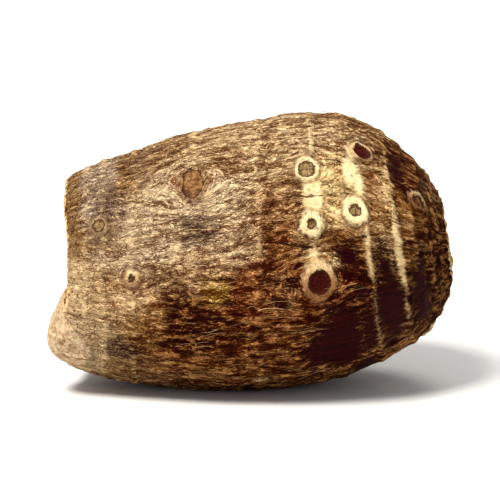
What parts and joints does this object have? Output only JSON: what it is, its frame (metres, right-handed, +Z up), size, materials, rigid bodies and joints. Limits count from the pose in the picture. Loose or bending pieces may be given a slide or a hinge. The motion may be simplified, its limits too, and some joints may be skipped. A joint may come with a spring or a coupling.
{
  "type": "taro root",
  "caption": "Whole taro corm, blunt at its base and rounded at its trimmed crown, ringed by leaf scars with side buds, lying on a small flat spot.",
  "frame": {"origin": "middle of the corm's bounding box in plan, on the surface that it rests on", "axes": "+X along the corm from its blunt base end to its trimmed crown, +Z up, so -Y is the side that the picture shows"},
  "size_m": [0.1208, 0.0784, 0.0815],
  "materials": {
    "corm_skin": "dry fibrous brown skin, matt, with cream scar rings and dark maroon husk"
  },
  "bodies": {
    "root": {"corm": "corm_skin"}
  },
  "joints": []
}
